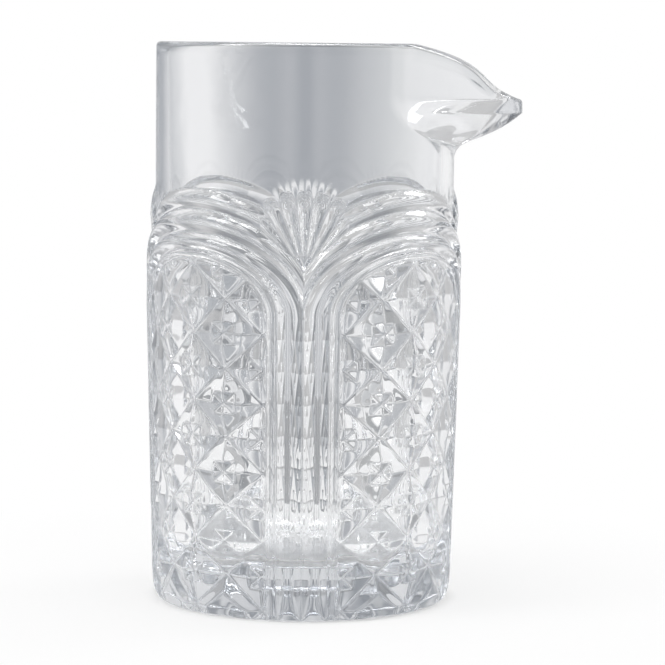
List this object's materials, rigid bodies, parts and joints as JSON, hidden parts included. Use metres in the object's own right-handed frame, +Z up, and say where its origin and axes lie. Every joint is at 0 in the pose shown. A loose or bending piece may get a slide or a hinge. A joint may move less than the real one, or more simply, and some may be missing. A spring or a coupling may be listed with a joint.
{
  "type": "cocktail mixing glass",
  "caption": "Heavy straight-sided glass for stirring drinks, with a pulled pouring beak and pressed panels of diamonds under arches between reeded columns.",
  "frame": {"origin": "on the glass's axis, at its flat underside", "axes": "+Z up along the axis to the rim, +X along the pouring beak"},
  "size_m": [0.1009, 0.085, 0.15],
  "materials": {
    "clear_glass": "clear fire-polished pressed glass"
  },
  "bodies": {
    "root": {"mixing_glass": "clear_glass"}
  },
  "joints": []
}
